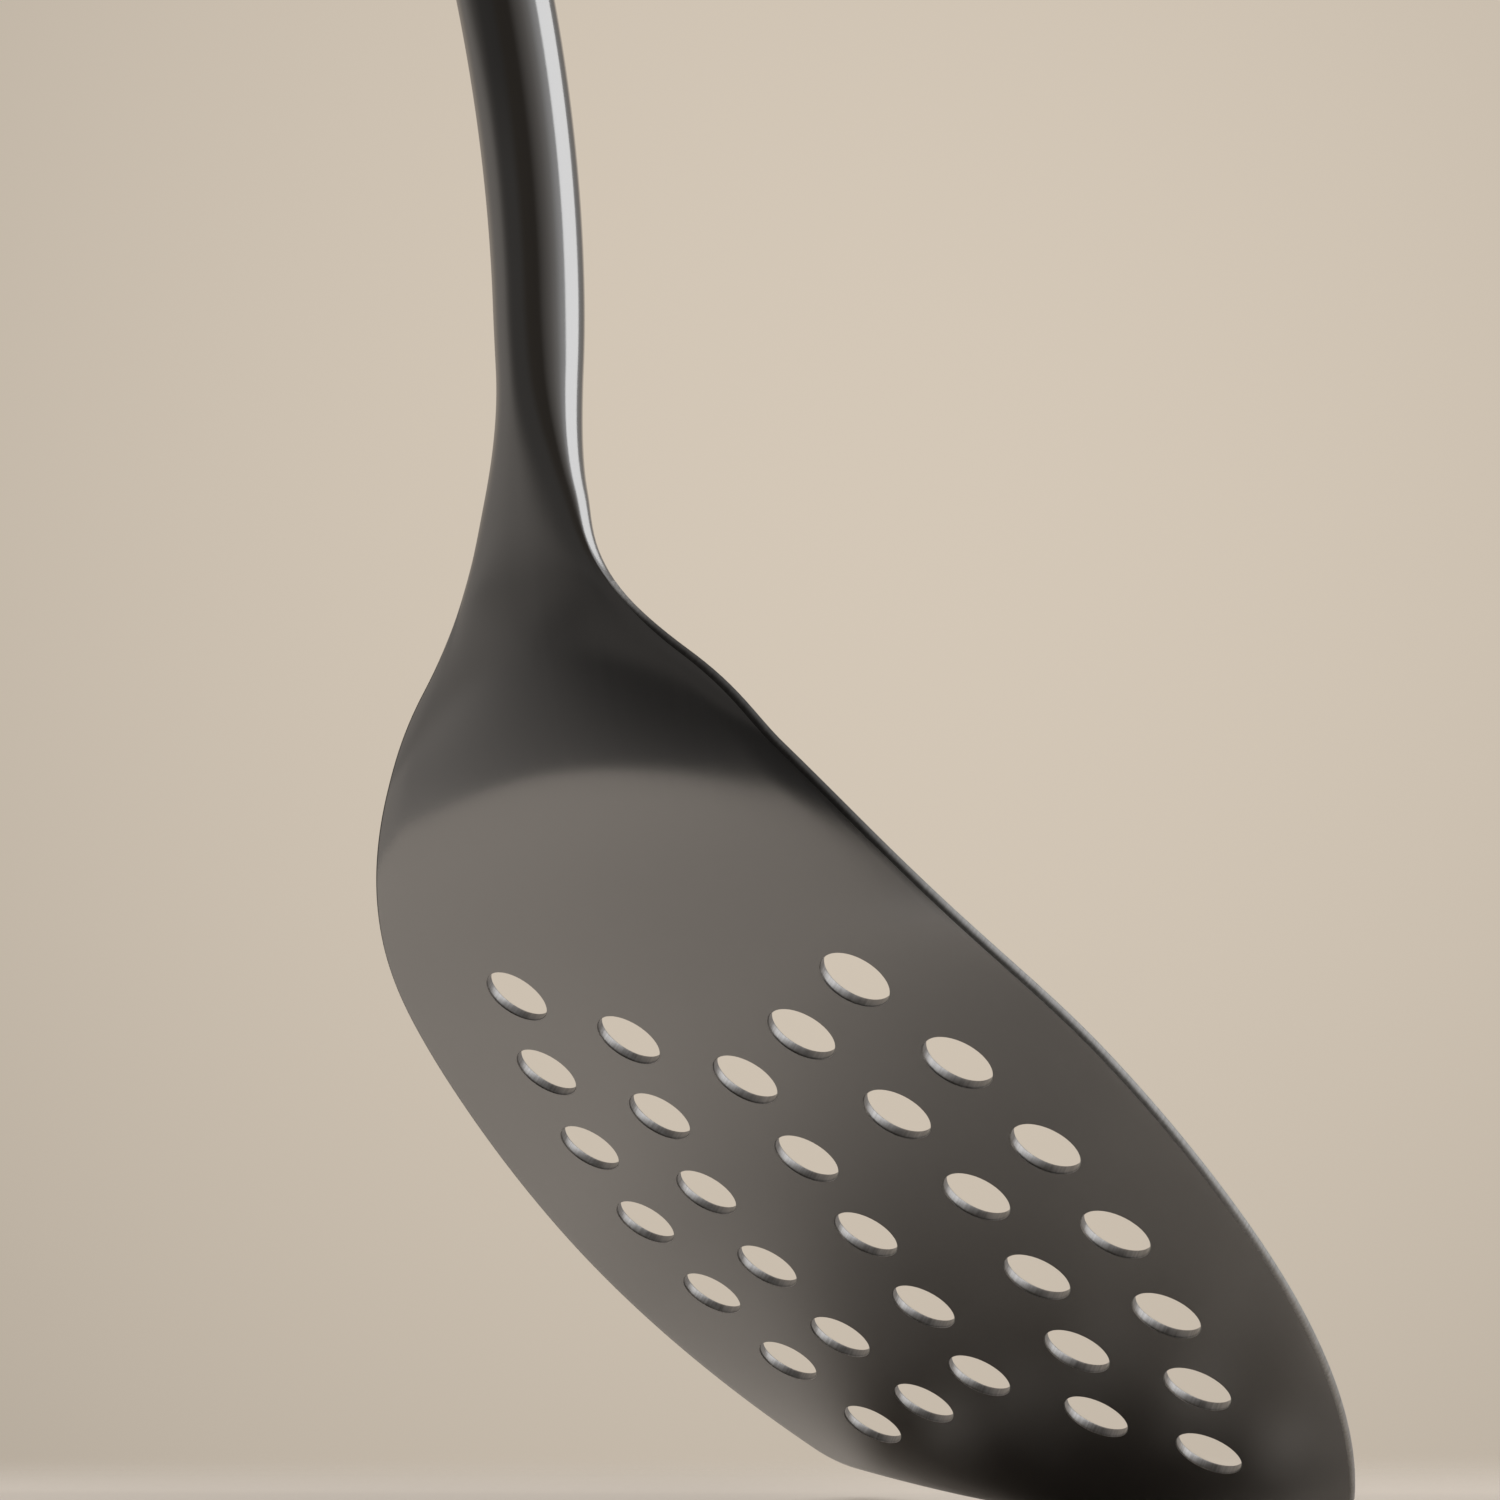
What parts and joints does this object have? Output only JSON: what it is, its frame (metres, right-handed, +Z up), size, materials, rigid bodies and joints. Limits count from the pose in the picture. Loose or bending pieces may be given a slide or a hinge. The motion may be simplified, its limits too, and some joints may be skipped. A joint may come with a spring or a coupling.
{
  "type": "slotted turner",
  "caption": "Stainless steel slotted turner: thin perforated blade with a bent-up heel, forged round neck and a curved hollow handle with a hanging slot; lifts and drains food.",
  "frame": {"origin": "centre of the hanging slot, half way through the handle's end", "axes": "+Z up in the pose of the picture, with the tool held at its handle end and the blade sloping down; +Y the way the blade points; +X across the blade, to the right seen from its underside"},
  "size_m": [0.0944, 0.1381, 0.3128],
  "materials": {
    "blade_steel": "satin stainless steel, brushed from heel to front edge",
    "neck_steel": "satin stainless steel, finer and glossier than the blade",
    "handle_steel": "satin stainless steel, fine lengthwise brushing",
    "end_steel": "satin stainless steel, ground flats beside the slot"
  },
  "bodies": {
    "root": {"blade": "blade_steel", "neck": "neck_steel", "handle_top_shell": "handle_steel", "handle_bottom_shell": "handle_steel", "hanging_end": "end_steel"}
  },
  "joints": []
}
